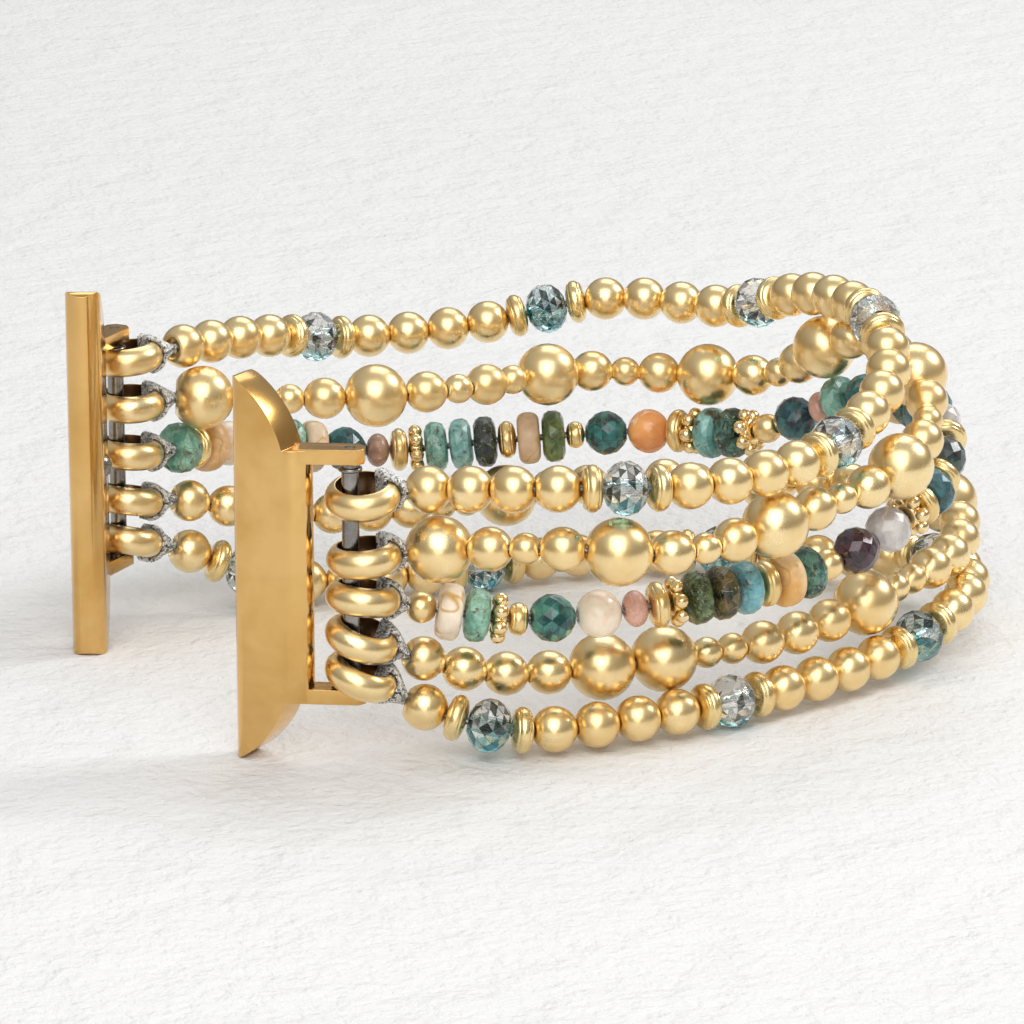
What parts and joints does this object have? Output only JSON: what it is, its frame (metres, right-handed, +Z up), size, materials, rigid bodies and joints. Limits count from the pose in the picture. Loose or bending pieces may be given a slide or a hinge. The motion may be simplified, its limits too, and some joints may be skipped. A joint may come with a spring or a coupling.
{
  "type": "stretch watch band",
  "caption": "Elastic beaded watch band: strands of metal, glass and stone beads looped to rings on two spring bars, each in a slide-in adapter with a spring latch.",
  "frame": {"origin": "on the surface that the band stands on, midway between the axes of the two spring bars", "axes": "+Z up along both spring bars, +X from the bars out towards the far side of the bead loop, +Y from bar a to bar b"},
  "size_m": [0.0798, 0.0697, 0.034],
  "materials": {
    "adapter_gold": "polished amber gold plate",
    "steel": "turned, fine circular grain",
    "ring_gold": "polished gold plate",
    "bead_gold": "satin-bright pale champagne gold",
    "spacer_gold": "bright pale gold, grooved rims",
    "daisy_gold": "granulated gold",
    "crystal": "cut glass, dark with a blue-green coat",
    "turquoise_stone": "polished stone, green-blue",
    "dark_green_stone": "semi-matt stone, dark green",
    "peach_stone": "polished stone, cream to peach",
    "pink_stone": "polished stone, dusty pink",
    "teal_stone": "faceted stone, teal",
    "agate": "faceted agate, grey-white to orange",
    "amethyst": "faceted stone, violet",
    "cord": "fine braided elastic, silver-grey"
  },
  "bodies": {
    "strands": {"cord_1": "cord", "cord_2": "cord", "cord_3": "cord", "cord_4": "cord", "cord_5": "cord", "gold_rounds_1": "bead_gold", "spacer_discs_1": "spacer_gold", "crystals_1": "crystal", "large_rounds_2": "bead_gold", "medium_rounds_2": "bead_gold", "small_rounds_2": "bead_gold", "small_rounds_3": "bead_gold", "gold_discs_3": "spacer_gold", "daisy_spacers_3": "daisy_gold", "turquoise_discs_3": "turquoise_stone", "dark_green_discs_3": "dark_green_stone", "peach_discs_3": "peach_stone", "pink_beads_3": "pink_stone", "teal_rounds_3": "teal_stone", "agate_rounds_3": "agate", "amethyst_round_3": "amethyst", "large_rounds_4": "bead_gold", "medium_rounds_4": "bead_gold", "small_rounds_4": "bead_gold", "gold_rounds_5": "bead_gold", "spacer_discs_5": "spacer_gold", "crystals_5": "crystal"},
    "pin_a": {"bar_tube_a": "steel", "bar_spring_a": "steel", "cord_loops_a": "cord"},
    "adapter_body_a": {"adapter_a": "adapter_gold", "latch_spring_a": "steel"},
    "latch_a": {"latch_button_a": "steel"},
    "tip_a_top": {"bar_tip_a_top": "steel"},
    "tip_a_bottom": {"bar_tip_a_bottom": "steel"},
    "ring_body_a1": {"ring_a1": "ring_gold"},
    "ring_body_a2": {"ring_a2": "ring_gold"},
    "ring_body_a3": {"ring_a3": "ring_gold"},
    "ring_body_a4": {"ring_a4": "ring_gold"},
    "ring_body_a5": {"ring_a5": "ring_gold"},
    "pin_b": {"bar_tube_b": "steel", "bar_spring_b": "steel", "cord_loops_b": "cord"},
    "adapter_body_b": {"adapter_b": "adapter_gold", "latch_spring_b": "steel"},
    "latch_b": {"latch_button_b": "steel"},
    "tip_b_top": {"bar_tip_b_top": "steel"},
    "tip_b_bottom": {"bar_tip_b_bottom": "steel"},
    "ring_body_b1": {"ring_b1": "ring_gold"},
    "ring_body_b2": {"ring_b2": "ring_gold"},
    "ring_body_b3": {"ring_b3": "ring_gold"},
    "ring_body_b4": {"ring_b4": "ring_gold"},
    "ring_body_b5": {"ring_b5": "ring_gold"}
  },
  "joints": [
    {"name": "stretch_a", "type": "slide", "parent": "strands", "child": "pin_a", "axis": [-1, 0, 0], "range_m": [0, 0.012], "stiffness_N_per_m": 400, "springref_m": -0.002, "deforming": ["cord_loops_a"]},
    {"name": "adapter_hinge_a", "type": "hinge", "parent": "pin_a", "child": "adapter_body_a", "pos_m": [0, -0.023, 0.017], "axis": [0, 0, 1], "range_deg": [-45, 15]},
    {"name": "latch_press_a", "type": "slide", "parent": "adapter_body_a", "child": "latch_a", "axis": [-0.866, -0.5, 0], "range_m": [0, 0.0005], "stiffness_N_per_m": 1000, "springref_m": -0.0008, "deforming": ["latch_spring_a"]},
    {"name": "tip_slide_a_top", "type": "slide", "parent": "pin_a", "child": "tip_a_top", "axis": [0, 0, -1], "range_m": [0, 0.00145], "stiffness_N_per_m": 1000, "springref_m": -0.001, "deforming": ["bar_spring_a"]},
    {"name": "tip_slide_a_bottom", "type": "slide", "parent": "pin_a", "child": "tip_a_bottom", "axis": [0, 0, 1], "range_m": [0, 0.00145], "stiffness_N_per_m": 1000, "springref_m": -0.001, "deforming": ["bar_spring_a"]},
    {"name": "ring_turn_a1", "type": "hinge", "parent": "pin_a", "child": "ring_body_a1", "pos_m": [0, -0.023, 0.02378], "axis": [0, 0, 1], "range_deg": [-15, 15]},
    {"name": "ring_turn_a2", "type": "hinge", "parent": "pin_a", "child": "ring_body_a2", "pos_m": [0, -0.023, 0.01835], "axis": [0, 0, 1], "range_deg": [-15, 15]},
    {"name": "ring_turn_a3", "type": "hinge", "parent": "pin_a", "child": "ring_body_a3", "pos_m": [0, -0.023, 0.01479], "axis": [0, 0, 1], "range_deg": [-15, 15]},
    {"name": "ring_turn_a4", "type": "hinge", "parent": "pin_a", "child": "ring_body_a4", "pos_m": [0, -0.023, 0.01116], "axis": [0, 0, 1], "range_deg": [-15, 15]},
    {"name": "ring_turn_a5", "type": "hinge", "parent": "pin_a", "child": "ring_body_a5", "pos_m": [0, -0.023, 0.00783], "axis": [0, 0, 1], "range_deg": [-15, 15]},
    {"name": "stretch_b", "type": "slide", "parent": "strands", "child": "pin_b", "axis": [-1, 0, 0], "range_m": [0, 0.012], "stiffness_N_per_m": 400, "springref_m": -0.002, "deforming": ["cord_loops_b"]},
    {"name": "adapter_hinge_b", "type": "hinge", "parent": "pin_b", "child": "adapter_body_b", "pos_m": [0, 0.023, 0.017], "axis": [0, 0, 1], "range_deg": [-15, 45]},
    {"name": "latch_press_b", "type": "slide", "parent": "adapter_body_b", "child": "latch_b", "axis": [-0.866, 0.5, 0], "range_m": [0, 0.0005], "stiffness_N_per_m": 1000, "springref_m": -0.0008, "deforming": ["latch_spring_b"]},
    {"name": "tip_slide_b_top", "type": "slide", "parent": "pin_b", "child": "tip_b_top", "axis": [0, 0, -1], "range_m": [0, 0.00145], "stiffness_N_per_m": 1000, "springref_m": -0.001, "deforming": ["bar_spring_b"]},
    {"name": "tip_slide_b_bottom", "type": "slide", "parent": "pin_b", "child": "tip_b_bottom", "axis": [0, 0, 1], "range_m": [0, 0.00145], "stiffness_N_per_m": 1000, "springref_m": -0.001, "deforming": ["bar_spring_b"]},
    {"name": "ring_turn_b1", "type": "hinge", "parent": "pin_b", "child": "ring_body_b1", "pos_m": [0, 0.023, 0.02526], "axis": [0, 0, 1], "range_deg": [-15, 15]},
    {"name": "ring_turn_b2", "type": "hinge", "parent": "pin_b", "child": "ring_body_b2", "pos_m": [0, 0.023, 0.0209], "axis": [0, 0, 1], "range_deg": [-15, 15]},
    {"name": "ring_turn_b3", "type": "hinge", "parent": "pin_b", "child": "ring_body_b3", "pos_m": [0, 0.023, 0.01627], "axis": [0, 0, 1], "range_deg": [-15, 15]},
    {"name": "ring_turn_b4", "type": "hinge", "parent": "pin_b", "child": "ring_body_b4", "pos_m": [0, 0.023, 0.01175], "axis": [0, 0, 1], "range_deg": [-15, 15]},
    {"name": "ring_turn_b5", "type": "hinge", "parent": "pin_b", "child": "ring_body_b5", "pos_m": [0, 0.023, 0.00787], "axis": [0, 0, 1], "range_deg": [-15, 15]}
  ]
}
